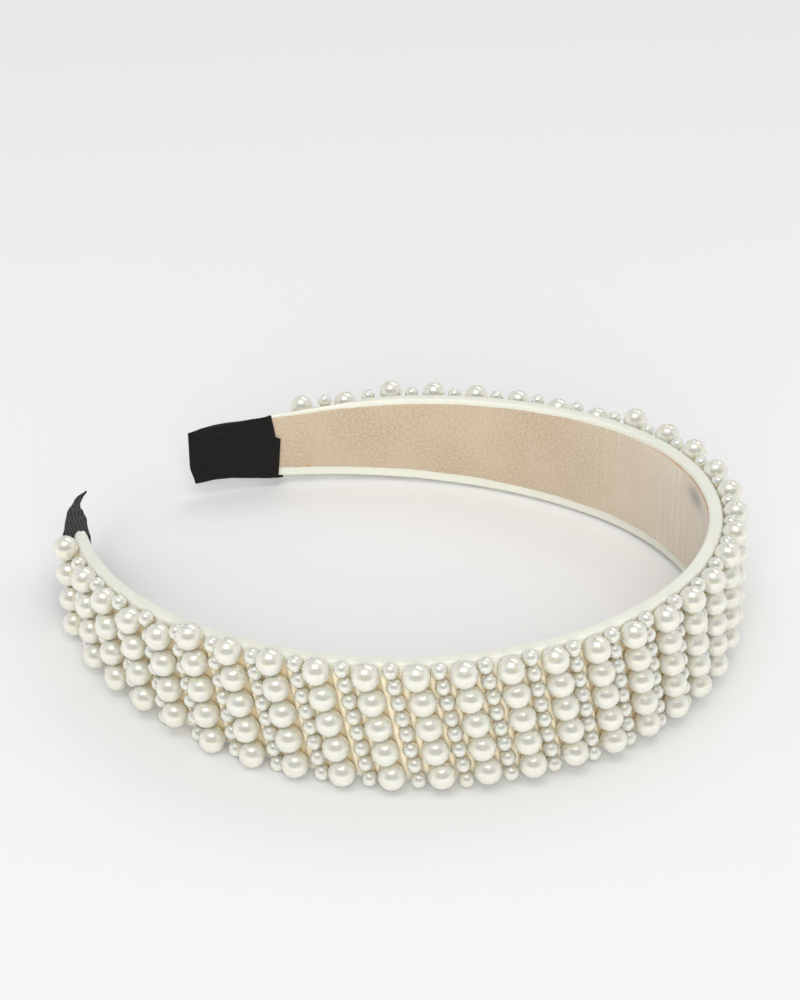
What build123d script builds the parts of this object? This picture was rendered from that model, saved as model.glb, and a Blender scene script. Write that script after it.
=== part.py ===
"""Padded satin headband with slanted strands of sewn-on pearl beads.

The band lies on its edge: +Z is across the band's width, +X points from the
tips to the crown, and Y runs from the right arm (-Y) to the left arm (+Y).
The origin is the bottom centre of the whole object's box.  All sizes in mm.

In plan the band is a chain of tangent arcs, mirrored about the X axis.  Every
layer is the same chain at another offset from the inner face, cut to the
band's width by one side outline.  The springy band flexes at the crown, so
its layers are in two halves there, on either side of a slanted cut that runs
between two strands.
"""
from build123d import *
import math
import os

# Plan of the inner face, from the crown to one tip: (radius, turn in degrees).
PLAN_ARCS = ((62.3, 81.6), (89.3, 39.5), (105.8, 24.2))

# Width of the band, tip taper and the lean of the band as it rests on its edge.
CROWN_WIDTH = 28.2
TIP_WIDTH = 13.8
TAPER_POWER = 2.5
REST_SLOPE = 0.036

# Thickness of each layer, from the head outwards.
LINING_T = 0.5
SATIN_T = 0.25
CORE_T = 1.0
FOAM_T = 1.1

# Margins on the inner face, measured from the band's top and bottom edges.
LINING_TOP_MARGIN = 1.2
LINING_BOTTOM_MARGIN = 2.6
TURN_IN = 4.4

# Ribbon sleeves folded round both tips.
SLEEVE_LENGTH = 22.5
SLEEVE_T = 0.45

# Strands: large pearls and seed pearls in alternating slanted columns.
PEARL_D = 5.8
SEED_D = 3.45
LEAN = 12.0
PEARL_STEP = 5.88
SEED_MIN_STEP = 3.5
SEED_TOP_INSET = 0.5
SEED_BOTTOM_INSET = 1.2
SEWN_GAP = 0.05
ARC_WOBBLE = 0.02

# Where the strands start: the first one's arc length, then (steps, pitch) of each stretch.
FIRST_STRAND = -177.7
PITCHES = ((1, 15.6), (2, 10.8), (7, 10.05), (8, 9.35), (4, 10.2), (12, 11.15))
STRANDS_BEFORE_FLEX = 18

# Per arm, for the large strands: the least insets of the top and bottom bead, the share
# of the spare height that is left above, and the irregularity of the height.
RIGHT_FIT = (-0.7, 1.8, 0.6, 0.2)
LEFT_FIT = (-0.5, 3.5, 0.55, 0.25)
SEED_HEIGHT_WOBBLE = 0.2
SEED_STRANDS_PER_NODE = 3

# Flex at the crown and the thread stitches over the top edge.
FLEX_CLEARANCE = 0.3
THREAD_D = 0.3
STITCH_LENGTH = 2.2
STITCH_CLEARANCE = 0.09

# Side outline: points from the crown, how far past the tip, and slab half-depth.
OUTLINE_STEPS = 11
OUTLINE_PAST_TIP = 6.0
SLAB_REACH = 100.0

# Worked-out offsets from the inner face.
SATIN_IN = LINING_T
CORE_IN = SATIN_IN + SATIN_T
FOAM_IN = CORE_IN + CORE_T
SATIN_OUT_IN = FOAM_IN + FOAM_T
BAND_T = SATIN_OUT_IN + SATIN_T
PEARL_R = PEARL_D / 2
SEED_R = SEED_D / 2
PEARL_OFFSET = BAND_T + SEWN_GAP + PEARL_R
SEED_OFFSET = BAND_T + SEWN_GAP + SEED_R
LEAN_SIN = math.sin(math.radians(LEAN))
LEAN_COS = math.cos(math.radians(LEAN))
TIP_HEADING = sum(turn for radius, turn in PLAN_ARCS)
HALF_LENGTH = sum(radius * math.radians(turn) for radius, turn in PLAN_ARCS)
SLEEVE_END = TIP_HEADING + math.degrees(SLEEVE_T / PLAN_ARCS[-1][0])
LAYER_END = TIP_HEADING - math.degrees(SATIN_T / PLAN_ARCS[-1][0])


def direction(heading):
    """Outward unit vector in plan at a heading in degrees."""
    return Vector(math.cos(math.radians(heading)), math.sin(math.radians(heading)))


def plan_spans():
    """(centre, radius, start heading, end heading) of each arc on the left side,
    with the crown's inner face at X = 0."""
    spans = []
    centre = Vector(-PLAN_ARCS[0][0], 0)
    heading = 0.0
    for index, (radius, turn) in enumerate(PLAN_ARCS):
        if index:
            centre = centre + direction(heading) * (PLAN_ARCS[index - 1][0] - radius)
        spans.append((centre, radius, heading, heading + turn))
        heading += turn
    return spans


SPANS = plan_spans()


def heading_at(arc, offset=0.0):
    """Heading reached after an arc length from the crown along an offset curve."""
    left = abs(arc)
    for centre, radius, start, end in SPANS:
        turn = math.degrees(left / (radius + offset))
        if turn <= end - start or end == TIP_HEADING:
            return math.copysign(start + turn, arc)
        left -= (radius + offset) * math.radians(end - start)


def plan_point(heading, offset=0.0):
    """Plan point at a heading, at an offset outside the inner face."""
    size = abs(heading)
    for centre, radius, start, end in SPANS:
        if size <= end or end == TIP_HEADING:
            point = centre + direction(size) * (radius + offset)
            return Vector(point.X, math.copysign(point.Y, heading))


def arc_share(heading):
    """Share of the way from the crown to the tip, 0 to 1, at a heading."""
    size = abs(heading)
    length = 0.0
    for centre, radius, start, end in SPANS:
        last = end == TIP_HEADING
        upto = size if last else min(size, end)
        length += radius * math.radians(max(0.0, upto - start))
    return length / HALF_LENGTH


def width_at(heading):
    """Full width of the band at a heading."""
    return CROWN_WIDTH - (CROWN_WIDTH - TIP_WIDTH) * arc_share(heading) ** TAPER_POWER


def middle_at(heading):
    """Height of the band's middle at a heading, before the lift to the floor."""
    return REST_SLOPE * plan_point(heading).X


def wobble(strand, bead, kind):
    """Repeatable hand-sewn irregularity between -1 and 1."""
    value = math.sin(12.9898 * strand + 78.233 * bead + 37.719 * kind) * 43758.5453
    return 2 * (value - math.floor(value)) - 1


def strand_arcs():
    """Arc length at which each large strand's line crosses the band's top edge."""
    arcs = [FIRST_STRAND]
    for steps, pitch in PITCHES:
        for step in range(steps):
            arcs.append(arcs[-1] + pitch)
    return arcs


def strand_beads(number, edge_arc, offset, inset, count, step, kind):
    """Bead centres of one slanted strand, whose top bead is an inset below the edge."""
    heading = heading_at(edge_arc, PEARL_OFFSET)
    edge = middle_at(heading) + width_at(heading) / 2
    beads = []
    for bead in range(count):
        drop = inset + bead * step * LEAN_COS
        arc = edge_arc + drop * LEAN_SIN / LEAN_COS + ARC_WOBBLE * wobble(number, bead, kind)
        point = plan_point(heading_at(arc, PEARL_OFFSET), offset)
        beads.append(Vector(point.X, point.Y, edge - drop))
    return beads


def large_strands():
    """Bead centres of every large strand: its pearls touch, so it holds as many as fit
    the width there, and the spare height is shared between its top and bottom."""
    strands = []
    drop = PEARL_STEP * LEAN_COS
    for number, arc in enumerate(strand_arcs()):
        fit = LEFT_FIT if number > STRANDS_BEFORE_FLEX else RIGHT_FIT
        top_inset, bottom_inset, share, looseness = fit
        run = width_at(heading_at(arc, PEARL_OFFSET)) - top_inset - bottom_inset
        steps = int(run / drop)
        inset = top_inset + share * (run - steps * drop) - looseness * wobble(number, 0, 6)
        strands.append(strand_beads(number, arc, PEARL_OFFSET, inset, steps + 1, PEARL_STEP, 1))
    return strands


def seed_strands():
    """Bead centres of every seed-pearl strand, midway between large strands, with its
    seeds spread evenly over the width."""
    arcs = strand_arcs()
    strands = []
    for number in range(len(arcs) - 1):
        arc = (arcs[number] + arcs[number + 1]) / 2
        width = width_at(heading_at(arc, PEARL_OFFSET))
        run = (width - SEED_TOP_INSET - SEED_BOTTOM_INSET) / LEAN_COS
        steps = int(run / SEED_MIN_STEP)
        inset = SEED_TOP_INSET - SEED_HEIGHT_WOBBLE * wobble(number, 0, 7)
        strands.append(strand_beads(number, arc, SEED_OFFSET, inset, steps + 1, run / steps, 2))
    return strands


LARGE = large_strands()
SEEDS = seed_strands()

# Placing: the lowest bead touches Z = 0, and the box is centred on X.
LIFT = PEARL_R - min(bead.Z for strand in LARGE for bead in strand)
BACK_X = plan_point(SLEEVE_END, BAND_T + SLEEVE_T).X
FRONT_X = max(bead.X for strand in LARGE for bead in strand) + PEARL_R
PLACE = Pos(-(BACK_X + FRONT_X) / 2, 0, LIFT)

# The flex line passes between the last right strand and the next seed strand.
FLEX_BEAD = LARGE[STRANDS_BEFORE_FLEX - 1][0]
FLEX_DROP = FLEX_BEAD.Z - middle_at(0)
FLEX_Y = FLEX_BEAD.Y + (PEARL_R + 0.1 + FLEX_DROP * LEAN_SIN) / LEAN_COS
FLEX_POINT = Vector(0, FLEX_Y, middle_at(0))
FLEX_NORMAL = Vector(0, LEAN_COS, LEAN_SIN)


def offset_edges(offset, start, end):
    """Arc edges of the offset curve between two headings, in order."""
    edges = []
    limits = [(-e, -s, c, r, -1) for c, r, s, e in reversed(SPANS)]
    limits += [(s, e, c, r, 1) for c, r, s, e in SPANS]
    for low, high, centre, radius, side in limits:
        if high == TIP_HEADING:
            high = end
        if low == -TIP_HEADING:
            low = start
        first = max(low, start)
        last = min(high, end)
        if last > first:
            middle = (centre.X, centre.Y * side)
            edges.append(CenterArc(middle, radius + offset, first, last - first))
    return edges


def ring_face(inner, outer, start, end):
    """Plan face of a layer between two offsets and two headings."""
    edges = offset_edges(inner, start, end) + offset_edges(outer, start, end)
    for heading in (start, end):
        a = plan_point(heading, inner)
        b = plan_point(heading, outer)
        edges.append(Line((a.X, a.Y), (b.X, b.Y)))
    return make_face(edges)


def side_body(top_inset, bottom_inset):
    """Slab with the band's side outline, which trims a layer to the band's width."""
    tops = []
    bottoms = []
    for step in range(OUTLINE_STEPS + 1):
        heading = (TIP_HEADING + OUTLINE_PAST_TIP) * step / OUTLINE_STEPS
        x = plan_point(heading).X
        half = width_at(heading) / 2
        tops.append(Vector(x, middle_at(heading) + half - top_inset))
        bottoms.append(Vector(x, middle_at(heading) - half + bottom_inset))
    crown = Vector(-1, -REST_SLOPE)
    upper = Spline(tops, tangents=[crown, (tops[-1] - tops[-2]).normalized()])
    lower = Spline(bottoms, tangents=[crown, (bottoms[-1] - bottoms[-2]).normalized()])
    front = crown * (-2 * BAND_T)
    outline = [upper, lower, Line(tops[-1], bottoms[-1])]
    outline.append(Polyline(tops[0], tops[0] + front, bottoms[0] + front, bottoms[0]))
    face = Plane.XZ * make_face(outline)
    return extrude(face, amount=SLAB_REACH, both=True)


def layer(inner, outer, insets, start=-TIP_HEADING, end=TIP_HEADING):
    """One layer of the band: a plan ring cut to the band's width."""
    slab = extrude(ring_face(inner, outer, start, end), amount=SLAB_REACH, both=True)
    return slab & side_body(*insets)


def satin_cover():
    """Thin wrap round the outer face, both edges and the inner margins."""
    wrap = layer(SATIN_IN, BAND_T, (0, 0))
    cavity = layer(CORE_IN, SATIN_OUT_IN, (SATIN_T, SATIN_T), -LAYER_END, LAYER_END)
    window = layer(SATIN_IN - 0.1, CORE_IN + 0.1, (TURN_IN, TURN_IN), -LAYER_END, LAYER_END)
    return wrap - cavity - window


def band_core():
    """Springy flat blank under the padding."""
    return layer(CORE_IN, FOAM_IN, (SATIN_T, SATIN_T), -LAYER_END, LAYER_END)


def foam_pad():
    """Thin padding between the blank and the outer satin."""
    return layer(FOAM_IN, SATIN_OUT_IN, (SATIN_T, SATIN_T), -LAYER_END, LAYER_END)


def inner_lining():
    """Velour lining over the turned-in satin, pressed into the opening between."""
    face = layer(0, LINING_T, (LINING_TOP_MARGIN, LINING_BOTTOM_MARGIN), -LAYER_END, LAYER_END)
    pressed = layer(LINING_T, CORE_IN, (TURN_IN, TURN_IN), -LAYER_END, LAYER_END)
    return face + pressed


def end_sleeve(side):
    """Ribbon pocket round one tip; side is +1 for left and -1 for right."""
    mouth = heading_at(HALF_LENGTH - SLEEVE_LENGTH)
    outer_ends = sorted((side * mouth, side * SLEEVE_END))
    inner_ends = sorted((side * (mouth - 1), side * TIP_HEADING))
    outer = layer(-SLEEVE_T, BAND_T + SLEEVE_T, (-SLEEVE_T, -SLEEVE_T), *outer_ends)
    return outer - layer(0, BAND_T, (0, 0), *inner_ends)


def halves(solid):
    """Right and left halves of a layer, either side of the slanted flex gap."""
    gap = FLEX_NORMAL * (FLEX_CLEARANCE / 2)
    right = split(solid, bisect_by=Plane(FLEX_POINT - gap, z_dir=FLEX_NORMAL), keep=Keep.BOTTOM)
    left = split(solid, bisect_by=Plane(FLEX_POINT + gap, z_dir=FLEX_NORMAL), keep=Keep.TOP)
    return {"right": right, "left": left}


def beads(centres, radius):
    """Round beads at the given centres."""
    return [Pos(centre.X, centre.Y, centre.Z) * Sphere(radius) for centre in centres]


def edge_stitches(numbers):
    """Thread stitches over the top edge, one beside each large strand."""
    stitches = []
    for number in numbers:
        heading = heading_at(strand_arcs()[number], PEARL_OFFSET)
        middle = plan_point(heading, BAND_T - STITCH_LENGTH / 2)
        height = middle_at(heading) + width_at(heading) / 2 + THREAD_D / 2 + STITCH_CLEARANCE
        thread = Rot(0, 90, 0) * Cylinder(THREAD_D / 2, STITCH_LENGTH)
        stitches.append(Pos(middle.X, middle.Y, height) * Rot(0, 0, heading) * thread)
    return stitches


def save(name, solids):
    """Write one node, moved to the object's own frame."""
    placed = [PLACE * solid for solid in solids]
    shape = placed[0] if len(placed) == 1 else Compound(children=placed)
    export_step(shape, f"parts/{name}.step")


def main():
    """Write every node of the headband."""
    os.makedirs("parts", exist_ok=True)
    layers = {
        "satin_cover": satin_cover(),
        "band_core": band_core(),
        "foam_pad": foam_pad(),
        "inner_lining": inner_lining(),
    }
    for name, solid in layers.items():
        for side, half in halves(solid).items():
            save(f"{name}_{side}", [half])
    save("end_sleeve_left", [end_sleeve(1)])
    save("end_sleeve_right", [end_sleeve(-1)])
    count = len(LARGE)
    for number, strand in enumerate(LARGE):
        save(f"pearl_strand_{number + 1:02d}", beads(strand, PEARL_R))
    flex = STRANDS_BEFORE_FLEX - 1
    for side, numbers in (("right", range(flex)), ("left", range(flex, count - 1))):
        groups = list(numbers)[::SEED_STRANDS_PER_NODE]
        for group, first in enumerate(groups):
            members = [n for n in numbers if first <= n < first + SEED_STRANDS_PER_NODE]
            centres = [centre for n in members for centre in SEEDS[n]]
            save(f"seed_pearls_{side}_{group + 1}", beads(centres, SEED_R))
    save("edge_stitches_right", edge_stitches(range(flex + 1)))
    save("edge_stitches_left", edge_stitches(range(flex + 1, count)))
    axis = PLACE * Pos(FRONT_X, FLEX_Y, 0)
    print("flex axis at", axis.position.X, axis.position.Y)
    print("strands", [len(strand) for strand in LARGE], [len(strand) for strand in SEEDS])


main()
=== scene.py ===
"""Padded satin headband with slanted strands of sewn-on pearl beads.

Everything is a surface over the band's own coordinates: arc, the length along
the inner face from the crown (right arm negative); offset, the distance outside
the inner face; and height, measured from the middle of the band's width.
place() turns the three, in millimetres, into points of the frame in metres.
"""
import math
import bpy
import numpy as np
from mathutils import Matrix, Vector


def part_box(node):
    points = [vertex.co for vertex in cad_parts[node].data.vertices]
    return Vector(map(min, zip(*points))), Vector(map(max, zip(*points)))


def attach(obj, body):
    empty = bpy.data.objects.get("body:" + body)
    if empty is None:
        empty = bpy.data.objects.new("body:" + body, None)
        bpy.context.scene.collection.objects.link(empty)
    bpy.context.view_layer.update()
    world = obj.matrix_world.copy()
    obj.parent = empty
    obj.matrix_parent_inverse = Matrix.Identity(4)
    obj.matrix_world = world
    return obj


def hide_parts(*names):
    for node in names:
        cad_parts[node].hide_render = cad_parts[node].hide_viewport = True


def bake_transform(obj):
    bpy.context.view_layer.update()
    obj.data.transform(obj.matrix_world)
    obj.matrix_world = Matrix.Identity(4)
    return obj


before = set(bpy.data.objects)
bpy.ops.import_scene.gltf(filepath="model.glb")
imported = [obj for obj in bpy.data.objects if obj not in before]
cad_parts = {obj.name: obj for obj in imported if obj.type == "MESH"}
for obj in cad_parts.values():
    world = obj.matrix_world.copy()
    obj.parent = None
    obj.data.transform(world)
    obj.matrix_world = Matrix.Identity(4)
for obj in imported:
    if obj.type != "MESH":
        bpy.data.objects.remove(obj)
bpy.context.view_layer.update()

MM = 0.001

# ---------------------------------------------------------------- the band's dimensions, in mm
PLAN_ARCS = ((62.3, math.radians(81.6)), (89.3, math.radians(39.5)), (105.8, math.radians(24.2)))
CROWN_WIDTH = 28.2
TIP_WIDTH = 13.8
TAPER_POWER = 2.5
REST_SLOPE = 0.036
BAND_T = 3.1
SATIN_T = 0.25
LINING_T = 0.5
CORE_T = 1.0
LINING_TOP_MARGIN = 1.2
LINING_BOTTOM_MARGIN = 2.6
SLEEVE_LENGTH = 22.5
SLEEVE_T = 0.45

# Strands of beads.
PEARL_R = 2.9
SEED_R = 1.725
LEAN = math.radians(12)
PEARL_STEP = 5.88
RIGHT_FIT = (-0.7, 1.8, 0.6, 0.2)
LEFT_FIT = (-0.5, 3.5, 0.55, 0.25)
STRANDS_BEFORE_FLEX = 18
SEED_INSETS = (0.5, 1.2)
SEED_MIN_STEP = 3.5
SEED_HEIGHT_WOBBLE = 0.2
SEWN_GAP = 0.05
FIRST_STRAND = -177.7
PITCHES = ((1, 15.6), (2, 10.8), (7, 10.05), (8, 9.35), (4, 10.2), (12, 11.15))
STEPS = np.concatenate([np.full(steps, pitch) for steps, pitch in PITCHES])
ARC_WOBBLE = 0.02
SEED_GROUP = 3
SIZE_SPREAD = 0.006

# A drilled bead: rings around and down, and its bore as shares of the bead's radius.
LARGE_RINGS = (20, 11)
SEED_RINGS = (12, 7)
BORE_R = 0.07
BORE_FLARE = 1.6
BORE_END = 0.86

# Sewing thread, and the strands whose thread shows over the top edge.
THREAD_R = 0.07
THREAD_SIDES = 6
THREAD_STEPS = 3
EDGE_STITCHED = (11, 12, 13, 14, 15, 20, 26)

# Satin and lining: rings along the band, corner radii and relief.  The padding thins out
# between two arc lengths, which differ from arm to arm.
SATIN_ROWS = 1051
SATIN_CORNER = 0.7
SATIN_INNER = 0.32
SATIN_RISE = 0.25
CROWNING = 0.25
SEWN_DIP = 0.3
PUFF = 1.2
THIN_FROM = {"left": 163.0, "right": 171.0}
THIN_TO = {"left": 176.0, "right": 182.0}
THINNED_BY = 0.72
LINING_ROWS = 1301
LINING_CORNER = 0.16

HALF_LENGTH = sum(radius * turn for radius, turn in PLAN_ARCS)
PEARL_OFFSET = BAND_T + SEWN_GAP + PEARL_R
SEED_OFFSET = BAND_T + SEWN_GAP + SEED_R
STRANDS = FIRST_STRAND + np.concatenate([[0.0], np.cumsum(STEPS)])

# The crown's inner face and the band's middle there, from the satin's CAD box.
SATIN_TOP = np.maximum(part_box("satin_cover_left")[1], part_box("satin_cover_right")[1]) / MM
SATIN_LOWEST = min(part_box("satin_cover_left")[0][2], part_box("satin_cover_right")[0][2]) / MM
SATIN_END = HALF_LENGTH - 13.5
CROWN_X = SATIN_TOP[0] - BAND_T
CROWN_Z = SATIN_TOP[2] - CROWN_WIDTH / 2 - REST_SLOPE * BAND_T


# ---------------------------------------------------------------- band coordinates to the frame
def arc_centres():
    """Centres of the tangent arcs of one side: each lies on the line from the
    last centre through the joint, moved by the difference of the radii."""
    centres = [np.array([-PLAN_ARCS[0][0], 0.0])]
    heading = 0.0
    for (radius, turn), (following, _) in zip(PLAN_ARCS, PLAN_ARCS[1:]):
        heading += turn
        outward = np.array([math.cos(heading), math.sin(heading)])
        centres.append(centres[-1] + (radius - following) * outward)
    return centres


CENTRES = arc_centres()
JOINTS = np.cumsum([turn for _, turn in PLAN_ARCS])


def heading_at(arc, offset=0.0):
    """Heading after an arc length along an offset curve: what is used up of each
    arc's length, divided by its radius, added up."""
    left = np.abs(np.asarray(arc, float))
    heading = np.zeros_like(left)
    for index, (radius, turn) in enumerate(PLAN_ARCS):
        span = np.inf if index == len(PLAN_ARCS) - 1 else (radius + offset) * turn
        used = np.clip(left, 0, span)
        heading = heading + used / (radius + offset)
        left = left - used
    return np.copysign(heading, arc)


def plan(heading, offset):
    """Plan point at a heading: centre of its arc plus radius and offset outwards."""
    size = np.abs(heading)
    which = np.minimum(np.searchsorted(JOINTS, size), len(PLAN_ARCS) - 1)
    centre = np.array(CENTRES)[which]
    reach = np.array([radius for radius, _ in PLAN_ARCS])[which] + offset
    x = centre[..., 0] + reach * np.cos(size)
    y = np.copysign(centre[..., 1] + reach * np.sin(size), heading)
    return x, y


def middle(heading):
    """Height of the band's middle: it falls evenly from the crown to the tips."""
    return CROWN_Z + REST_SLOPE * plan(heading, 0.0)[0]


def half_width(arc):
    """Half the band's width: full at the crown, less by a power of the way to the tip."""
    share = np.abs(arc) / HALF_LENGTH
    return (CROWN_WIDTH - (CROWN_WIDTH - TIP_WIDTH) * share ** TAPER_POWER) / 2


def place(arc, offset, height):
    """Points of the frame, in metres, for arrays of arc, offset and height."""
    arc, offset, height = np.broadcast_arrays(arc, offset, height)
    heading = heading_at(arc)
    x, y = plan(heading, offset)
    return np.stack([x + CROWN_X, y, middle(heading) + height], -1) * MM


def smooth(value, low, high):
    """0 below low, 1 above high, and an even S-curve between."""
    t = np.clip((value - low) / (high - low), 0, 1)
    return t * t * (3 - 2 * t)


def wobble(strand, bead, kind):
    """Repeatable hand-sewn irregularity between -1 and 1."""
    value = np.sin(12.9898 * strand + 78.233 * bead + 37.719 * kind) * 43758.5453
    return 2 * (value - np.floor(value)) - 1


def ripple(a, b, seed, octaves=4):
    """Soft irregular surface between about -1 and 1: a sum of sines of growing
    frequency at turned directions over the two coordinates."""
    total = 0.0
    for octave in range(octaves):
        turn = seed * 1.7 + octave * 2.4
        step = 1.9 ** octave
        across = a * math.cos(turn) + b * math.sin(turn)
        along = b * math.cos(turn) - a * math.sin(turn)
        total = total + np.sin(step * across + seed) * np.cos(0.7 * step * along - turn) / step
    return total / 1.6


# ---------------------------------------------------------------- meshes
def mesh_object(name, points, faces, material, attributes=None, normals=None):
    """An object at the origin with these points in metres, smooth, facing outwards:
    the signed volume of a fan of triangles from the origin tells which way is out."""
    corners = [points[np.array([face[k] for face in faces])] for k in range(3)]
    volume = np.einsum("ij,ij->", corners[0], np.cross(corners[1], corners[2]))
    if volume < 0:
        faces = [face[::-1] for face in faces]
    mesh = bpy.data.meshes.new(name)
    mesh.from_pydata(points.tolist(), [], faces)
    mesh.shade_smooth()
    for label, values in (attributes or {}).items():
        flat = np.asarray(values, np.float32)
        vector = flat.ndim > 1
        layer = mesh.attributes.new(label, "FLOAT_VECTOR" if vector else "FLOAT", "POINT")
        layer.data.foreach_set("vector" if vector else "value", flat.ravel())
    if normals is not None:
        mesh.normals_split_custom_set_from_vertices(normals.tolist())
    mesh.materials.append(material)
    item = bpy.data.objects.new(name, mesh)
    bpy.context.scene.collection.objects.link(item)
    return item


def grid_faces(rows, cols, start=0):
    """Quads of a grid whose columns close into a ring."""
    index = start + np.arange(rows * cols).reshape(rows, cols)
    a = index[:-1]
    b = index[1:]
    quads = np.stack([a, b, np.roll(b, -1, 1), np.roll(a, -1, 1)], -1)
    return quads.reshape(-1, 4).tolist()


def loft(name, arc, offset, height, material, extra=None):
    """A closed skin through ring sections, row after row; both ends are zipped up with
    quads from side to side, as the first and last column meet at the middle of the top."""
    arc, offset, height = (np.array(part) for part in np.broadcast_arrays(arc, offset, height))
    rows, cols = arc.shape
    band = np.stack([arc, offset, height], -1).reshape(-1, 3)
    points = place(band[:, 0], band[:, 1], band[:, 2])
    side = np.arange(cols // 2 - 1)
    cap = np.stack([side, side + 1, cols - 2 - side, cols - 1 - side], -1)
    faces = grid_faces(rows, cols) + cap.tolist() + ((rows - 1) * cols + cap[:, ::-1]).tolist()
    attributes = {"band": band}
    for label, values in (extra or {}).items():
        values = np.broadcast_to(values, (rows, cols, *np.shape(values)[2:]))
        attributes[label] = values.reshape(rows * cols, *values.shape[2:])
    return mesh_object(name, points, faces, material, attributes)


def rounded_ring(face_steps, edge_steps, corner_steps):
    """Unit description of a rounded rectangle, once round from the middle of its top
    edge: shares of the straight half-height and half-thickness, and the direction
    of the corner radius."""
    turn = np.linspace(0, math.pi / 2, corner_steps + 1)[1:-1]
    ones_f = np.ones(face_steps + 1)
    ones_e = np.ones(edge_steps + 1)
    ones_c = np.ones(len(turn))
    down = np.linspace(1, -1, face_steps + 1)
    inward = np.linspace(1, -1, edge_steps + 1)
    z_share = [down, -ones_c, -ones_e, -ones_c, -down, ones_c, ones_e, ones_c]
    o_share = [ones_f, ones_c, inward, -ones_c, -ones_f, -ones_c, -inward, ones_c]
    sine = np.sin(turn)
    cosine = np.cos(turn)
    z_round = [0 * ones_f, -sine, -ones_e, -cosine, 0 * ones_f, sine, ones_e, cosine]
    o_round = [ones_f, cosine, 0 * ones_e, -sine, -ones_f, -cosine, 0 * ones_e, sine]
    first = len(turn) + (edge_steps + 1) // 2
    return [np.roll(np.concatenate(part), first) for part in (z_share, o_share, z_round, o_round)]


def ring_section(ring, top, bottom, inner, outer, radius):
    """Height and offset of a rounded rectangle from bottom to top and inner to outer,
    with a corner radius; every limit may change from row to row."""
    z_share, o_share, z_round, o_round = ring
    half = (top - bottom) / 2
    depth = (outer - inner) / 2
    height = (top + bottom) / 2 + z_share * (half - radius) + z_round * radius
    offset = (inner + outer) / 2 + o_share * (depth - radius) + o_round * radius
    return height, offset


# ---------------------------------------------------------------- materials
def linear(code):
    """sRGB hex to linear RGBA."""
    parts = np.array([int(code[k:k + 2], 16) for k in (1, 3, 5)]) / 255
    low = parts / 12.92
    high = ((parts + 0.055) / 1.055) ** 2.4
    return (*np.where(parts <= 0.04045, low, high), 1.0)


def add(tree, kind, inputs=None, **settings):
    """Adds a node: settings are its properties; an input is a value or a socket to link."""
    node = tree.nodes.new(kind)
    for label, value in settings.items():
        setattr(node, label, value)
    for label, value in (inputs or {}).items():
        if isinstance(value, bpy.types.NodeSocket):
            tree.links.new(value, node.inputs[label])
        else:
            node.inputs[label].default_value = value
    return node


def finish_named(name, **constants):
    """A new material: its tree and its surface shader, with constants on the sockets."""
    material = bpy.data.materials.new(name)
    material.use_nodes = True
    tree = material.node_tree
    shader = tree.nodes["Principled BSDF"]
    for label, value in constants.items():
        shader.inputs[label.replace("_", " ")].default_value = value
    return material, tree, shader


def mix(tree, factor, first, second):
    """Colour between two by a factor socket."""
    node = add(tree, "ShaderNodeMix", data_type="RGBA")
    tree.links.new(factor, node.inputs[0])
    for slot, value in ((6, first), (7, second)):
        if isinstance(value, bpy.types.NodeSocket):
            tree.links.new(value, node.inputs[slot])
        else:
            node.inputs[slot].default_value = linear(value)
    return node.outputs[2]


def bump(tree, shader, height, strength, distance, under=None):
    """Bump of a real height in metres, on top of another bump if there is one."""
    inputs = {"Height": height, "Strength": strength, "Distance": distance}
    if under is not None:
        inputs["Normal"] = under
    node = add(tree, "ShaderNodeBump", inputs)
    tree.links.new(node.outputs[0], shader.inputs["Normal"])
    return node.outputs[0]


def band_noise(tree, band, scale, detail, roughness=0.5):
    """Noise over the band's coordinates in mm, so its scale is per mm."""
    return add(tree, "ShaderNodeTexNoise", {"Vector": band.outputs["Vector"], "Scale": scale,
                                            "Detail": detail, "Roughness": roughness})


def clipped(tree, value, low, high, most=1.0):
    """Socket that rises from 0 at low to most at high, and stays within them."""
    limits = {"Value": value, "From Min": low, "From Max": high, "To Max": most}
    return add(tree, "ShaderNodeMapRange", limits).outputs[0]


def pearl_lacquer():
    """Imitation pearl: an ABS bead dipped in pearl essence and clear lacquer, which
    gives a milky body and a sharp coat highlight."""
    material, tree, shader = finish_named(
        "pearl_lacquered_abs_bead", Metallic=0.42, Roughness=0.16, IOR=1.5, Coat_Weight=1.0,
        Coat_Roughness=0.14, Coat_IOR=1.5, Subsurface_Weight=0.85, Subsurface_Scale=0.0035,
        Subsurface_Radius=(1.0, 0.8, 0.5))
    place_at = add(tree, "ShaderNodeTexCoord").outputs["Object"]
    cloud = add(tree, "ShaderNodeTexNoise", {"Vector": place_at, "Scale": 350.0, "Detail": 2.0})
    tone = mix(tree, cloud.outputs["Fac"], "#EDECE2", "#E5E3D6")
    tree.links.new(tone, shader.inputs["Base Color"])
    skin = add(tree, "ShaderNodeTexNoise", {"Vector": place_at, "Scale": 700.0, "Detail": 1.0})
    bump(tree, shader, skin.outputs["Fac"], 0.08, 0.0002)
    return material


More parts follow.
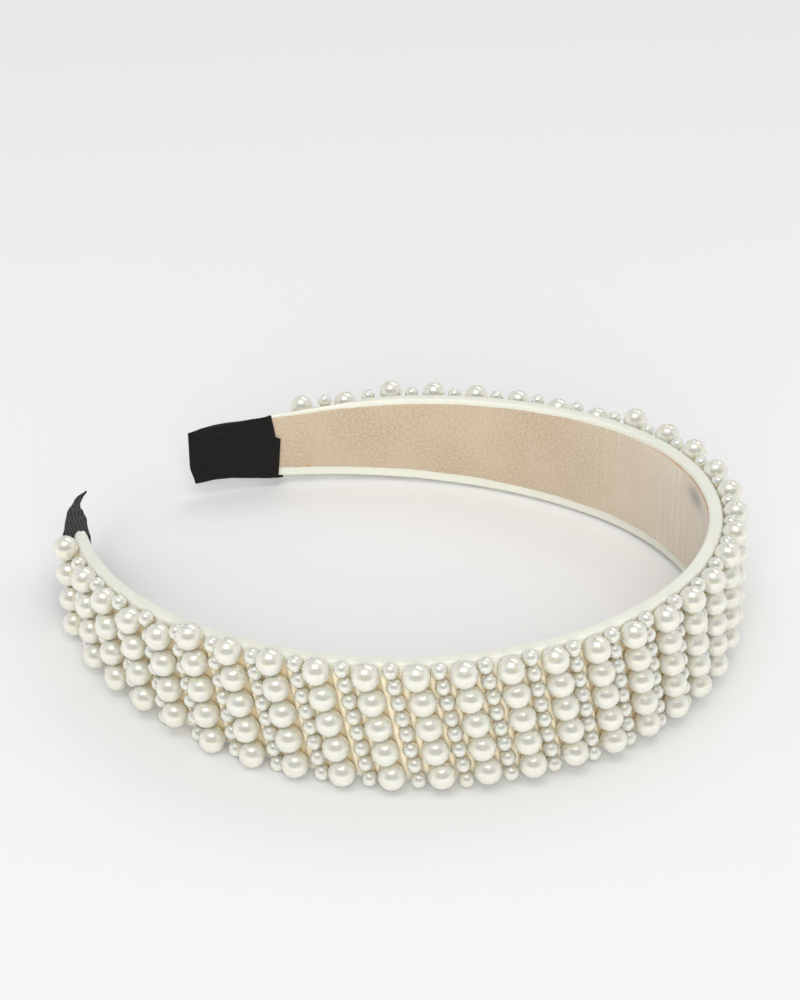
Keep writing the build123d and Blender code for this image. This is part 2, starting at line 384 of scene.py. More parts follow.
def cream_satin():
    """Polyester satin, woven and stretched over foam: a soft sheen, a fine twill line,
    small drag wrinkles, painted shade in its stitch holes near the top edge and painted warm bounce light
    between the strands."""
    material, tree, shader = finish_named(
        "cream_satin_weave", Roughness=0.42, IOR=1.5, Sheen_Weight=0.35, Sheen_Roughness=0.4,
        Subsurface_Weight=0.12, Subsurface_Scale=0.001)
    band = add(tree, "ShaderNodeAttribute", attribute_name="band")
    painted_bounce_light = add(tree, "ShaderNodeAttribute", attribute_name="painted_bounce_light")
    painted_hole_shade = add(tree, "ShaderNodeAttribute", attribute_name="painted_hole_shade")
    cloud = band_noise(tree, band, 0.12, 3.0)
    cloth = mix(tree, cloud.outputs["Fac"], "#EBECE0", "#E4E5D6")
    # Painted light: a brighter warm cream over the covered outer face stands in for light bounced between
    # the beads.
    warm = mix(tree, painted_bounce_light.outputs["Fac"], cloth, "#FFEBC4")
    # Painted shade: dark dots where the stitch holes are.
    dotted = mix(tree, painted_hole_shade.outputs["Fac"], warm, "#6E6A58")
    tree.links.new(dotted, shader.inputs["Base Color"])
    twill = add(tree, "ShaderNodeTexWave",
                {"Vector": band.outputs["Vector"], "Scale": 1.6, "Distortion": 0.6},
                bands_direction="DIAGONAL")
    under = bump(tree, shader, twill.outputs["Fac"], 0.25, 0.00003)
    stretched = add(tree, "ShaderNodeMapping",
                    {"Vector": band.outputs["Vector"], "Scale": (0.5, 0.25, 0.16)})
    drag = add(tree, "ShaderNodeTexNoise", {"Vector": stretched.outputs[0], "Scale": 1.0, "Detail": 4.0})
    bump(tree, shader, drag.outputs["Fac"], 0.35, 0.0004, under)
    return material


def tan_velour():
    """Brushed velour lining: a short matt pile with speckle, and a darker raw edge
    where the cut strip's backing shows along the top."""
    material, tree, shader = finish_named(
        "tan_brushed_velour", Roughness=0.95, IOR=1.45, Sheen_Weight=0.5, Sheen_Roughness=0.6)
    band = add(tree, "ShaderNodeAttribute", attribute_name="band")
    edge = add(tree, "ShaderNodeAttribute", attribute_name="raw_edge")
    painted_rib_highlight = add(tree, "ShaderNodeAttribute", attribute_name="painted_rib_highlight")
    worn = add(tree, "ShaderNodeAttribute", attribute_name="smudge")
    fine = band_noise(tree, band, 1.5, 5.0, 0.75)
    speck = clipped(tree, fine.outputs["Fac"], 0.35, 0.68)
    pile = mix(tree, speck, "#AE987B", "#D2C1A8")
    patch = band_noise(tree, band, 0.07, 2.0)
    broad = clipped(tree, patch.outputs["Fac"], 0.35, 0.75, 0.5)
    tone = mix(tree, broad, pile, "#CFBEA5")
    fleck = band_noise(tree, band, 1.3, 3.0, 0.8)
    sparse = clipped(tree, fleck.outputs["Fac"], 0.62, 0.72, 0.6)
    flecked = mix(tree, sparse, tone, "#8E6C4A")
    # Painted highlight: paler across the tight bend and palest on the rib crests.
    ribbed = mix(tree, painted_rib_highlight.outputs["Fac"], flecked, "#EAE0CF")
    cut = mix(tree, edge.outputs["Fac"], ribbed, "#C4853C")
    used = mix(tree, worn.outputs["Fac"], cut, "#857666")
    tree.links.new(used, shader.inputs["Base Color"])
    bump(tree, shader, fine.outputs["Fac"], 0.25, 0.0002)
    return material


def black_grosgrain():
    """Grosgrain ribbon, woven with thick weft cords: fine ribs across the ribbon,
    nearly black, with a painted highlight on the cords along the right sleeve's top edge."""
    material, tree, shader = finish_named(
        "black_grosgrain_ribbon", Roughness=0.8, IOR=1.45, Sheen_Weight=0.05, Sheen_Roughness=0.35)
    weave = add(tree, "ShaderNodeAttribute", attribute_name="rib")
    painted_ridge_highlight = add(tree, "ShaderNodeAttribute", attribute_name="painted_ridge_highlight")
    ribs = add(tree, "ShaderNodeTexWave",
               {"Vector": weave.outputs["Vector"], "Scale": 0.42, "Distortion": 0.5, "Detail": 1.0,
                "Detail Scale": 0.6}, bands_direction="Y")
    lint = band_noise(tree, weave, 1.4, 4.0)
    cords = mix(tree, ribs.outputs["Fac"], "#0B0B0A", "#171615")
    # Painted highlight: paler cords where the ribs run along the right sleeve's top edge.
    pale = add(tree, "ShaderNodeMath", {0: ribs.outputs["Fac"], 1: painted_ridge_highlight.outputs["Fac"]},
               operation="MULTIPLY")
    cords = mix(tree, pale.outputs[0], cords, "#443F3F")
    dusty = clipped(tree, lint.outputs["Fac"], 0.5, 0.8, 0.3)
    tone = mix(tree, dusty, cords, "#2B2927")
    tree.links.new(tone, shader.inputs["Base Color"])
    bump(tree, shader, ribs.outputs["Fac"], 0.4, 0.0001)
    return material


def spun_thread():
    """White polyester sewing thread: a matt twist of fibres."""
    material, tree, shader = finish_named(
        "white_spun_thread", Roughness=0.7, IOR=1.5, Sheen_Weight=0.3, Subsurface_Weight=0.2,
        Subsurface_Scale=0.0005)
    place_at = add(tree, "ShaderNodeTexCoord").outputs["Object"]
    twist = add(tree, "ShaderNodeTexWave", {"Vector": place_at, "Scale": 900.0}, bands_direction="DIAGONAL")
    tone = mix(tree, twist.outputs["Fac"], "#E6E3D4", "#F8F6EC")
    tree.links.new(tone, shader.inputs["Base Color"])
    bump(tree, shader, twist.outputs["Fac"], 0.3, 0.00003)
    return material


def moulded_abs():
    """Injection-moulded ABS strip: an even, slightly grained white plastic."""
    material, tree, shader = finish_named("moulded_abs_strip", Roughness=0.45, IOR=1.54)
    place_at = add(tree, "ShaderNodeTexCoord").outputs["Object"]
    grain = add(tree, "ShaderNodeTexNoise", {"Vector": place_at, "Scale": 1200.0, "Detail": 2.0})
    tone = mix(tree, grain.outputs["Fac"], "#E2E0D8", "#D6D4CA")
    tree.links.new(tone, shader.inputs["Base Color"])
    bump(tree, shader, grain.outputs["Fac"], 0.2, 0.00005)
    return material


def open_cell_foam():
    """Polyurethane foam sheet: a pale matt sponge of sub-millimetre cells."""
    material, tree, shader = finish_named("open_cell_pu_foam", Roughness=1.0, IOR=1.45)
    place_at = add(tree, "ShaderNodeTexCoord").outputs["Object"]
    cells = add(tree, "ShaderNodeTexVoronoi", {"Vector": place_at, "Scale": 1800.0})
    tone = mix(tree, cells.outputs["Distance"], "#CFC8AE", "#F2EEDD")
    tree.links.new(tone, shader.inputs["Base Color"])
    bump(tree, shader, cells.outputs["Distance"], 0.8, 0.0003)
    return material


def floor_paper():
    """Matt white background paper, rolled out as the floor."""
    material, _, shader = finish_named("matt_background_paper", Roughness=0.9, IOR=1.4,
                                       Specular_IOR_Level=0.1)
    shader.inputs["Base Color"].default_value = linear("#F3F3F3")
    return material


# ---------------------------------------------------------------- strands
def strand_beads(number, edge_arc, offset, inset, steps, step, kind):
    """Bead centres of one slanted strand, in mm of the frame: its line crosses the band's
    top edge at an arc length, and its top bead is an inset below the edge."""
    heading = heading_at(edge_arc, PEARL_OFFSET)
    edge = middle(heading) + half_width(arc_of(heading))
    bead = np.arange(steps + 1)
    drop = inset + bead * step * math.cos(LEAN)
    arcs = edge_arc + drop * math.tan(LEAN) + ARC_WOBBLE * wobble(number, bead, kind)
    x, y = plan(heading_at(arcs, PEARL_OFFSET), offset)
    return np.stack([x + CROWN_X, y, edge - drop], -1)


def large_strand(number, arc):
    """One large strand: its pearls touch, so it holds as many as fit the width, and the
    spare height is shared between its top and bottom."""
    fit = LEFT_FIT if number > STRANDS_BEFORE_FLEX else RIGHT_FIT
    top_inset, bottom_inset, share, looseness = fit
    half = half_width(arc_of(heading_at(arc, PEARL_OFFSET)))
    drop = PEARL_STEP * math.cos(LEAN)
    run = 2 * half - top_inset - bottom_inset
    steps = int(run / drop)
    inset = top_inset + share * (run - steps * drop) - looseness * wobble(number, 0, 6)
    return strand_beads(number, arc, PEARL_OFFSET, inset, steps, PEARL_STEP, 1)


def seed_strand(number, arc):
    """One seed strand, midway between two large ones, its seeds spread over the width."""
    half = half_width(arc_of(heading_at(arc, PEARL_OFFSET)))
    run = (2 * half - SEED_INSETS[0] - SEED_INSETS[1]) / math.cos(LEAN)
    steps = int(run / SEED_MIN_STEP)
    inset = SEED_INSETS[0] - SEED_HEIGHT_WOBBLE * wobble(number, 0, 7)
    return strand_beads(number, arc, SEED_OFFSET, inset, steps, run / steps, 2)


def arc_of(heading):
    """Length along the inner face up to a heading."""
    size = np.abs(heading)
    length = 0.0
    start = 0.0
    for index, (radius, turn) in enumerate(PLAN_ARCS):
        last = index == len(PLAN_ARCS) - 1
        reach = np.clip(size - start, 0, np.inf if last else turn)
        length = length + radius * reach
        start += turn
    return np.copysign(length, heading)


def bead_template(around, down):
    """A drilled bead of radius 1 on the Z axis: rings down its outside, each a circle
    at an even angle from pole to pole, then two rings back up the wall of the bore."""
    rim = math.asin(BORE_R * BORE_FLARE)
    polar = np.linspace(rim, math.pi - rim, down + 1)
    radius = np.concatenate([np.sin(polar), [BORE_R, BORE_R]])
    level = np.concatenate([np.cos(polar), [-BORE_END, BORE_END]])
    turn = np.linspace(0, 2 * math.pi, around, endpoint=False)
    points = np.stack([radius[:, None] * np.cos(turn), radius[:, None] * np.sin(turn),
                       np.broadcast_to(level[:, None], (len(level), around))], -1)
    rings = len(level)
    index = np.arange(rings * around).reshape(rings, around)
    closed = np.concatenate([index, index[:1]])
    a = closed[:-1]
    b = closed[1:]
    quads = np.stack([a, b, np.roll(b, -1, 1), np.roll(a, -1, 1)], -1).reshape(-1, 4)
    inward = np.stack([-np.cos(turn), -np.sin(turn), 0 * turn], -1)
    normals = points.copy()
    normals[-2:] = inward
    return points.reshape(-1, 3), quads, normals.reshape(-1, 3)


def strand_frame(centres, spin):
    """Rotation whose Z axis runs along the strand, turned about it by a spin."""
    axis = centres[0] - centres[-1]
    axis = axis / np.linalg.norm(axis)
    side = np.cross([math.cos(spin), math.sin(spin), 0.1], axis)
    side = side / np.linalg.norm(side)
    return np.stack([side, np.cross(axis, side), axis], -1)


def bead_set(name, strands, numbers, radius, template, material):
    """One piece: every bead of these strands, as copies of the drilled bead turned
    along its strand, each a little larger or smaller than the next."""
    points, quads, normals = template
    all_points = []
    all_faces = []
    all_normals = []
    count = 0
    for strand, number in zip(strands, numbers):
        for bead, centre in enumerate(strand):
            turn = strand_frame(strand, number * 2.1 + bead * 1.3)
            size = radius * (1 - SIZE_SPREAD * (1 + wobble(number, bead, 9)))
            all_points.append(centre + size * points @ turn.T)
            all_normals.append(normals @ turn.T)
            all_faces.append(quads + count * len(points))
            count += 1
    points = np.concatenate(all_points) * MM
    faces = np.concatenate(all_faces).tolist()
    return mesh_object(name, points, faces, material, normals=np.concatenate(all_normals))


def make_strands():
    """Every large strand, and the seed strands in the same groups as their nodes."""
    lacquer = pearl_lacquer()
    large = [large_strand(number, arc) for number, arc in enumerate(STRANDS)]
    seeds = [seed_strand(number, arc) for number, arc in enumerate((STRANDS[1:] + STRANDS[:-1]) / 2)]
    pieces = []
    template = bead_template(*LARGE_RINGS)
    for number, strand in enumerate(large):
        node = f"pearl_strand_{number + 1:02d}"
        item = bead_set(f"{node}_beads", [strand], [number], PEARL_R, template, lacquer)
        pieces.append((item, node, "large_pearl"))
    template = bead_template(*SEED_RINGS)
    flex = STRANDS_BEFORE_FLEX - 1
    for side, numbers in (("right", range(flex)), ("left", range(flex, len(seeds)))):
        for group, first in enumerate(list(numbers)[::SEED_GROUP]):
            members = [n for n in numbers if first <= n < first + SEED_GROUP]
            node = f"seed_pearls_{side}_{group + 1}"
            strands = [seeds[n] for n in members]
            item = bead_set(f"{node}_beads", strands, members, SEED_R, template, lacquer)
            pieces.append((item, node, "seed_pearl"))
    for item, node, slot in pieces:
        flex_blend(item)
        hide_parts(node)
    return large, seeds


# ---------------------------------------------------------------- transforms baked into the meshes
def flex_blend(item):
    """Bakes a piece's transform into its mesh."""
    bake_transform(item)


# ---------------------------------------------------------------- the padded band
def flatten(arc, offset):
    """The padding thins out towards the sleeves: everything outside the lining comes in
    by the same share."""
    start = np.where(arc > 0, THIN_FROM["left"], THIN_FROM["right"])
    end = np.where(arc > 0, THIN_TO["left"], THIN_TO["right"])
    share = 1 - THINNED_BY * smooth(np.abs(arc), start, end)
    return np.where(offset > LINING_T, LINING_T + (offset - LINING_T) * share, offset)


def strand_distance(arc, height, strands):
    """Distance along the band from each point to the nearest slanted strand line."""
    level = outer_arc(arc) - (half_width(arc) - height) * math.tan(LEAN)
    return np.abs(level[..., None] - strands).min(-1)


def satin_cover():
    """Satin over foam: a rounded section carried along the band, crowned on its outer
    face, drawn in under every strand, puffed between them, nicked where thread crosses
    the edge, and lowered at its top towards the sleeves."""
    arcs = np.linspace(-SATIN_END, SATIN_END, SATIN_ROWS)[:, None]
    half = half_width(arcs)
    ring = rounded_ring(26, 3, 6)
    lowered = smooth(arcs, 145, 170)
    top = half + SATIN_RISE - 0.55 * lowered
    height, offset = ring_section(ring, top, -half, SATIN_INNER, BAND_T, SATIN_CORNER)
    arc = np.broadcast_to(arcs, height.shape)
    outer_side = smooth(offset, 1.2, 2.9)
    share = height / half
    between = (STRANDS[1:] + STRANDS[:-1]) / 2
    large = strand_distance(arc, height, STRANDS)
    seed = strand_distance(arc, height, between)
    covered = smooth(0.97 - np.abs(share), 0.0, 0.18)
    sewn = 1 - smooth(np.abs(outer_arc(arc)), 181, 187)

    # Outer face: crowned over the width, dipped at the strands and puffed between them.
    dip = np.exp(-(large / 1.5) ** 2) + 0.7 * np.exp(-(seed / 1.0) ** 2)
    puffed = smooth(large, 1.3, 2.8) * smooth(seed, 0.9, 1.9) * covered * sewn
    crown = CROWNING * (1 - share ** 2)
    offset = offset + outer_side * (crown - SEWN_DIP * dip * sewn * covered + PUFF * puffed)

    # Top and bottom edges: drag wrinkles and thread nicks.
    top_edge = smooth(share, 0.86, 1.0)
    bottom_edge = smooth(-share, 0.86, 1.0)
    nick = np.exp(-(large / 0.5) ** 2) * sewn
    wrinkle = ripple(arc * 0.3, height * 0.25, 1.3)
    height = height + top_edge * (0.06 * wrinkle - 0.03 * nick) * (1 - outer_side * 0.3)
    offset = offset - 0.25 * smooth(half - height, 1.1, 0.6) * (1 - outer_side)
    height = height - 1.7 * lowered * top_edge * smooth(offset, 0.4, 3.0)
    height = height - bottom_edge * 0.07 * ripple(arc * 0.3, height * 0.2, 4.1)

    # Inner face: the fold of the turned-in satin below the lining.
    inner_side = 1 - smooth(offset, 0.3, 1.2)
    ridge = np.exp(-((height + half - 1.5) / 0.35) ** 2)
    groove = np.exp(-((height + half - 1.0) / 0.3) ** 2)
    uneven = 0.05 * ripple(arc * 0.5, height * 0.6, 2.2)
    offset = offset + inner_side * (uneven - 0.12 * (ridge - groove))

    # Painted light: the bright warm bounce tint covers the satin's outer face under the beads and is
    # strongest in the dips under the strands.
    painted_bounce_light = outer_side * sewn * covered * (0.6 + 0.4 * smooth(dip, 0.0, 0.5))
    # Painted shade: dark dots at the stitch holes just below the top edge of the inner face, on the right
    # arm.
    needle = np.exp(-((half - height - 0.5) / 0.2) ** 2)
    holes = strand_distance(arc, half, STRANDS + 0.9)
    painted_hole_shade = inner_side * needle * np.exp(-(holes / 0.2) ** 2) * (arc < 0)
    shades = {"painted_bounce_light": painted_bounce_light, "painted_hole_shade": painted_hole_shade * 0.5}
    item = loft("satin_cover", arc, flatten(arc, offset), height, cream_satin(), shades)
    flex_blend(item)
    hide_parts("satin_cover_left", "satin_cover_right")


def outer_arc(arc):
    """Length along the pearl curve at a point of the inner face."""
    return arc + heading_at(arc) * PEARL_OFFSET


def inner_lining():
    """Velour strip glued on the inner face: a thin rounded slab with uneven cut
    edges, cross ribs where the band curves tightest, painted paler there with a painted highlight on the
    rib crests, and one worn smudge."""
    end = SATIN_END - 0.5
    arcs = np.linspace(-end, end, LINING_ROWS)[:, None]
    half = half_width(arcs)
    ring = rounded_ring(24, 1, 3)
    top = half - LINING_TOP_MARGIN + 0.12 * ripple(arcs * 0.35, 0 * arcs, 5.0)
    bottom = -half + LINING_BOTTOM_MARGIN + 0.15 * ripple(arcs * 0.3, 0 * arcs, 7.0)
    height, offset = ring_section(ring, top, bottom, 0.0, LINING_T, LINING_CORNER)
    arc = np.broadcast_to(arcs, height.shape)
    bend = smooth(95 - np.abs(arc - 8), 0, 50)
    patchy = smooth(ripple(arc * 0.2, height * 0.1, 6.0), -0.7, 0.4)
    drift = ripple(arc * 0.25, height * 0.04, 3.0)
    ribs = (np.sin(arc * 4.4 + 2.6 * drift) + 0.5 * np.sin(arc * 2.1 - 3.0 * drift)) * patchy
    face = 1 - smooth(offset, 0.05, 0.3)
    offset = offset - face * (0.10 * bend * ribs + 0.05 * ripple(arc * 0.5, height * 0.5, 8.0))
    raw = smooth(height - top, -0.15, -0.06) * smooth(62 - np.abs(arc - 14), 0, 14)
    fleck = np.exp(-((arc - 165) / 0.5) ** 2 - ((height - bottom) / 0.7) ** 2)
    # Painted highlight: paler across the tight bend, palest on the rib crests.
    painted_rib_highlight = bend * (0.55 + 0.45 * smooth(ribs, 0.1, 1.2))
    smudge = np.exp(-((arc - 47) / 5.0) ** 2 - ((height - half + 4.4) / 2.1) ** 2)
    shades = {"raw_edge": np.maximum(raw, fleck), "smudge": smudge, "painted_rib_highlight": painted_rib_highlight * 0.8}
    item = loft("inner_lining", arc, offset, height, tan_velour(), shades)
    flex_blend(item)
    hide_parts("inner_lining_left", "inner_lining_right")


def inner_layers():
    """The springy blank and the foam over it: plain rounded slabs between the lining
    and the outer satin."""
    end = SATIN_END - 1.0
    arcs = np.linspace(-end, end, 181)[:, None]
    half = half_width(arcs) - 3 * SATIN_T
    ring = rounded_ring(6, 1, 3)
    start = LINING_T + SATIN_T
    foam_start = start + CORE_T
    layers = (("band_core", start, foam_start, 0.2, moulded_abs()),
              ("foam_pad", foam_start, BAND_T - 2.6 * SATIN_T, 0.3, open_cell_foam()))
    for name, inner, outer, radius, material in layers:
        height, offset = ring_section(ring, half, -half, inner, outer, radius)
        offset = flatten(arcs, offset)
        item = loft(name, arcs, offset, height, material)
        flex_blend(item)
        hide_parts(f"{name}_left", f"{name}_right")


# ---------------------------------------------------------------- ribbon sleeves
# From a sleeve's mouth to its closed end: shares of its length, and the offsets of its inner
# and outer face there.  The left one lies flat; the right one gapes and its end curls inwards.
SLEEVE_STATIONS = (0.0, 0.15, 0.35, 0.56, 0.72, 0.8, 0.9, 1.0)
LEFT_INNER = (-0.45, -0.45, -0.42, -0.4, -0.35, -0.3, -0.2, -0.1)
LEFT_OUTER = (2.35, 2.0, 1.7, 1.5, 1.3, 1.15, 0.95, 0.7)
RIGHT_INNER = (-0.5, -0.48, -0.45, 0.25, 1.2, 1.5, 1.7, 1.8)
RIGHT_OUTER = (6.0, 4.95, 4.35, 4.05, 3.5, 3.1, 2.75, 2.4)
SLEEVE_ROWS = 60
POCKET_ROWS = 8
POCKET_DEPTH = 0.6
RIBBON_T = 0.3


def end_sleeve(side, material):
    """Ribbon folded round a tip.  Rows run from inside the pocket to the mouth, and back
    along its outside to the flattened end; the mouth is cut in steps, the lap of the
    ribbon makes a seam, and the corners are tucked under."""
    ring = rounded_ring(28, 3, 5)
    mouth = HALF_LENGTH - SLEEVE_LENGTH
    close = HALF_LENGTH + 0.2
    pocket = np.linspace(POCKET_DEPTH, 0, POCKET_ROWS)
    along = np.concatenate([pocket, np.linspace(0, 1, SLEEVE_ROWS)])[:, None]
    outside = np.concatenate([np.zeros(POCKET_ROWS), np.ones(SLEEVE_ROWS)])[:, None]
    skin = RIBBON_T * (1 - outside)
    faces = (LEFT_INNER, LEFT_OUTER) if side > 0 else (RIGHT_INNER, RIGHT_OUTER)
    inner = np.interp(along, SLEEVE_STATIONS, faces[0]) + skin
    outer = np.interp(along, SLEEVE_STATIONS, faces[1]) - skin
    reach = mouth + along * (close - mouth)
    half = half_width(np.minimum(reach, HALF_LENGTH)) + SLEEVE_T - skin
    pinch = smooth(along, 0.1, 0.65) * smooth(1 - along, 0.0, 0.3)
    bottom = -half + (0.75 * pinch + 0.3 if side > 0 else 0.6 * pinch)
    top = half - (0.25 * smooth(along, 0.3, 0.8) if side < 0 else 0.0)
    radius = np.minimum(0.5, (outer - inner) * 0.48)
    height, offset = ring_section(ring, top, bottom, inner, outer, radius)
    arc = np.broadcast_to(reach, height.shape)
    share = height / half
    face = 1 - smooth(offset - inner, 0.1, 0.7)
    pucker = ripple(arc * 0.35, height * 0.5, 9.0 + side)
    outwards = np.where(offset > (inner + outer) / 2, 1, -1)
    offset = offset + outside * 0.08 * pucker * outwards
    edge = smooth(np.abs(share), 0.8, 1.0)
    height = height + outside * 0.14 * ripple(arc * 0.33, 0 * height, 11.0 + side) * edge
    tip = smooth(along, 0.82, 1.0)
    if side > 0:
        sloped = smooth(1 - along, 0.15, 0.85) * smooth(share, 0.6, 1.0)
        height = height - sloped * (0.45 + 1.1 * (offset - inner) / (outer - inner))
        lap = smooth(0.26 - share, 0.0, 0.03) * face
        cut = (0.25 + 1.35 * share) * (1 - lap) - (0.4 + 0.85 * share) * lap
        arc = arc + cut * (1 - along) ** 10
        seam = smooth(-0.13 - 0.16 * along - share, 0.0, 0.05)
        offset = offset - outside * face * 0.14 * seam * smooth(1 - along, 0.0, 0.15)
        corner = smooth(along * 1.6 + np.abs(share) - 1.75, 0.0, 0.12)
        offset = offset - outside * face * 0.16 * corner
        height = height - tip * 0.15 * smooth(share, 0.5, 1.0)
        arc = arc - tip * 1.1 * smooth(-share, 0.3, 1.0)
    else:
        arched = smooth(share, 0.75, 1.0) * smooth(offset, 0.0, 0.9) * (1 - smooth(offset, 2.6, 3.6))
        arc = arc - (2.4 - 3.0 * arched) * (1 - along) ** 10
        pleats = np.sin(offset * 5.5 + 0.4 * arc) * smooth(share, 0.5, 1.0)
        height = height + outside * 0.13 * pleats * smooth(1 - along, 0.0, 0.3)
        corner = smooth(height - top, -1.15, -0.6)
        curl = smooth(along, 0.8, 1.0) * corner
        offset = offset - 1.5 * curl ** 2
        arc = arc + 2.2 * smooth(along, 0.7, 1.0) * corner
        height = height - 0.9 * smooth(along, 0.7, 1.0) * (1 - corner) * smooth(share, 0.3, 0.75)
        arc = arc - tip * 1.5 * smooth(-share, 0.0, 1.0)
    name = "end_sleeve_left" if side > 0 else "end_sleeve_right"
    rib = np.stack([arc, height + (offset if side < 0 else 0), offset], -1)
    # Painted highlight: paler cords near the top edge of the right sleeve's outside.
    painted_ridge_highlight = outside * smooth(share, 0.7, 0.95) * (side < 0)
    shades = {"painted_ridge_highlight": painted_ridge_highlight, "rib": rib}
    item = loft(f"{name}_ribbon", side * arc, offset, height, material, shades)
    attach(item, "left_arm" if side > 0 else "right_arm")
    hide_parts(name)


# ---------------------------------------------------------------- sewing threads
def smooth_path(corners, steps):
    """Catmull-Rom curve through the corners: each span blends its four nearest."""
    ends = np.concatenate([[2 * corners[0] - corners[1]], corners, [2 * corners[-1] - corners[-2]]])
    t = np.linspace(0, 1, steps, endpoint=False)[:, None]
    pieces = []
    for a, b, c, d in zip(ends, ends[1:], ends[2:], ends[3:]):
        pieces.append(0.5 * (2 * b + (c - a) * t + (2 * a - 5 * b + 4 * c - d) * t ** 2
                             + (3 * b - a - 3 * c + d) * t ** 3))
    return np.concatenate([*pieces, corners[-1:]])


def tube(path, radius, sides):
    """Points and faces of a round tube along a path: circles square to its direction,
    with a fan on both ends."""
    along = np.gradient(path, axis=0)
    along = along / np.linalg.norm(along, axis=1, keepdims=True)
    side = np.cross(along, [0.31, 0.17, 0.93])
    side = side / np.linalg.norm(side, axis=1, keepdims=True)
    up = np.cross(along, side)
    turn = np.linspace(0, 2 * math.pi, sides, endpoint=False)[:, None, None]
    rings = path + radius * (np.cos(turn) * side + np.sin(turn) * up)
    points = rings.transpose(1, 0, 2).reshape(-1, 3)
    rows = len(path)
    faces = grid_faces(rows, sides)
    for k in range(sides):
        following = (k + 1) % sides
        faces.append([rows * sides, k, following])
        faces.append([rows * sides + 1, (rows - 1) * sides + following, (rows - 1) * sides + k])
    return np.concatenate([points, path[:1], path[-1:]]), faces


def band_point(arc, offset, height):
    """One point of the band in mm of the frame."""
    return place(np.array(arc), np.array(offset), np.array(height)) / MM


def sewing_threads(large, seeds):
    """Each strand's thread: out of the lining's edge, over the top edge, through the
    beads and into the satin below the last one."""
    parts = [(strand, STRANDS[n]) for n, strand in enumerate(large)]
    between = (STRANDS[1:] + STRANDS[:-1]) / 2
    parts += [(strand, between[n]) for n, strand in enumerate(seeds)]
    points = []
    faces = []
    total = 0
    for number, (strand, curve_arc) in enumerate(parts):
        arc = float(arc_of(heading_at(curve_arc, PEARL_OFFSET)))
        half = float(half_width(arc))
        drift = 0.5 * wobble(number, 3, 4)
        low = arc + (2 * half * math.tan(LEAN)) * 0.93
        corners = [band_point(arc, BAND_T - 0.3, half - 1.2)]
        if number in EDGE_STITCHED:
            corners = [band_point(arc + 0.5 + drift, 0.3, half - 0.6),
                       band_point(arc + 0.4 + drift, 0.1, half - 0.1),
                       band_point(arc + 0.3 + drift, 0.8, half + 0.28),
                       band_point(arc + 0.15, 2.3, half + 0.28),
                       band_point(arc, BAND_T + 0.1, half - 0.2)]
        corners += list(strand)
        corners.append(band_point(low, BAND_T - 0.3, -half + 0.25))
        path = smooth_path(np.array(corners), THREAD_STEPS)
        made, quads = tube(path, THREAD_R, THREAD_SIDES)
        points.append(made)
        faces += [[index + total for index in face] for face in quads]
        total += len(made)
    item = mesh_object("sewing_threads", np.concatenate(points) * MM, faces, spun_thread())
    flex_blend(item)
    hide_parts("edge_stitches_left", "edge_stitches_right")


# ---------------------------------------------------------------- studio
AZIMUTH = math.radians(33.87)
ELEVATION = math.radians(27.64)
ROLL = math.radians(-0.887)
DISTANCE = 537.7
LENS = 81.7884
SENSOR = 36.0
AIM = (-4.02, 29.96, 13.75 + SATIN_LOWEST)
AIM_ORIGIN = 64.17
FLOOR_HALF = 6.0
ROOM_STRENGTH = 0.82
PATCH_RISE = 0.37
PATCH_SPREAD = (0.9, 0, 2.3)


def camera():
    """Camera on a line through the aim point at the viewing azimuth and elevation."""
    forward = Vector((-math.sin(AZIMUTH) * math.cos(ELEVATION), math.cos(AZIMUTH) * math.cos(ELEVATION),
                      -math.sin(ELEVATION)))
    turned = Matrix.Rotation(AZIMUTH, 3, "Z") @ Vector(AIM)
    aim = turned + Vector((CROWN_X - AIM_ORIGIN, 0, 0))
    data = bpy.data.cameras.new("camera")
    data.sensor_width = SENSOR
    data.lens = LENS
    data.clip_end = 50.0
    item = bpy.data.objects.new("camera", data)
    bpy.context.scene.collection.objects.link(item)
    look = forward.to_track_quat("-Z", "Y").to_matrix() @ Matrix.Rotation(ROLL, 3, "Z")
    item.matrix_world = Matrix.Translation((aim - forward * DISTANCE) * MM) @ look.to_4x4()
    bpy.context.scene.camera = item


def soft_light(name, azimuth, elevation, distance, size, power, mirrored=True):
    """A soft box that faces the object from a direction round it; a fill card isn't
    mirrored in glossy surfaces."""
    data = bpy.data.lights.new(name, "AREA")
    data.shape = "RECTANGLE"
    data.size, data.size_y = size
    data.energy = power
    item = bpy.data.objects.new(name, data)
    item.visible_glossy = mirrored
    bpy.context.scene.collection.objects.link(item)
    flat = math.cos(elevation)
    towards = Vector((math.sin(azimuth) * flat, -math.cos(azimuth) * flat, math.sin(elevation)))
    turned = towards.to_track_quat("Z", "Y").to_matrix().to_4x4()
    item.matrix_world = Matrix.Translation(towards * distance) @ turned


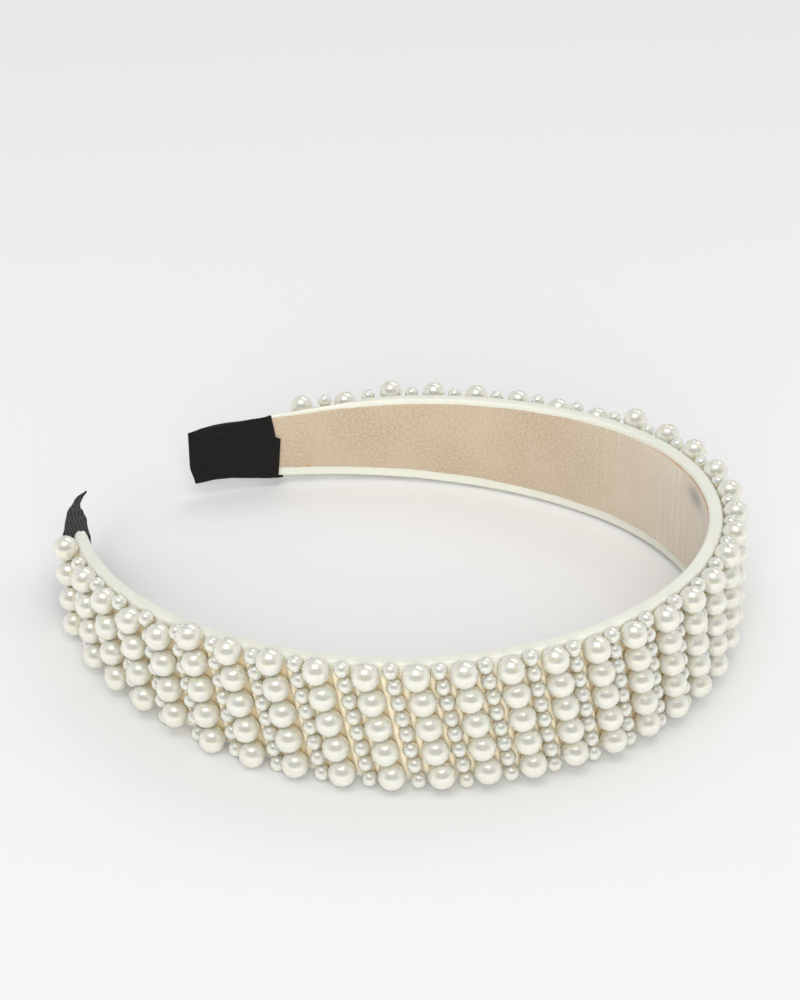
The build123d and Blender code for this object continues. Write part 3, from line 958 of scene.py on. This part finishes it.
def studio():
    """Pale floor, a soft box high over the front, a softer one behind, a fill card at
    the front, and an even pale room with a dark patch at eye level in front."""
    corners = np.array([[-1, -1, 0], [1, -1, 0], [1, 1, 0], [-1, 1, 0]], float) * FLOOR_HALF
    floor = mesh_object("floor", corners, [[0, 1, 2, 3]], floor_paper())
    soft_light("key", AZIMUTH - math.radians(14), math.radians(72), 2.6, (1.9, 1.6), 15.5)
    soft_light("back", AZIMUTH + math.radians(150), math.radians(52), 3.2, (2.4, 1.6), 12.0)
    soft_light("fill", AZIMUTH, math.radians(24), 3.2, (2.2, 2.2), 84.0, mirrored=False)
    world = bpy.data.worlds.new("room")
    world.use_nodes = True
    tree = world.node_tree
    direction = add(tree, "ShaderNodeTexCoord").outputs["Generated"]
    turned = add(tree, "ShaderNodeVectorRotate",
                 {"Vector": direction, "Axis": (0, 0, 1), "Angle": -AZIMUTH})
    parts = add(tree, "ShaderNodeSeparateXYZ", {0: turned.outputs[0]})
    shifted = add(tree, "ShaderNodeVectorMath", {0: turned.outputs[0], 1: (0, 0, -PATCH_RISE)},
                  operation="ADD")
    spread = add(tree, "ShaderNodeVectorMath", {0: shifted.outputs[0], 1: PATCH_SPREAD},
                 operation="MULTIPLY")
    reach = add(tree, "ShaderNodeVectorMath", {0: spread.outputs[0]}, operation="LENGTH")
    inside = clipped(tree, reach.outputs["Value"], 1.15, 0.6)
    facing = clipped(tree, parts.outputs["Y"], -0.2, -0.5)
    dark = add(tree, "ShaderNodeMath", {0: inside, 1: facing}, operation="MULTIPLY")
    high = clipped(tree, parts.outputs["Z"], 0.0, 0.8)
    room = mix(tree, high, "#FFFFFF", "#C8C8C8")
    tone = mix(tree, dark.outputs[0], room, "#241E17")
    background = tree.nodes["Background"]
    tree.links.new(tone, background.inputs["Color"])
    background.inputs["Strength"].default_value = ROOM_STRENGTH
    bpy.context.scene.world = world
    bpy.context.scene.view_settings.view_transform = "Standard"


studio()
camera()
large_strands, seed_strands = make_strands()
satin_cover()
inner_lining()
inner_layers()
ribbon = black_grosgrain()
end_sleeve(1, ribbon)
end_sleeve(-1, ribbon)
sewing_threads(large_strands, seed_strands)
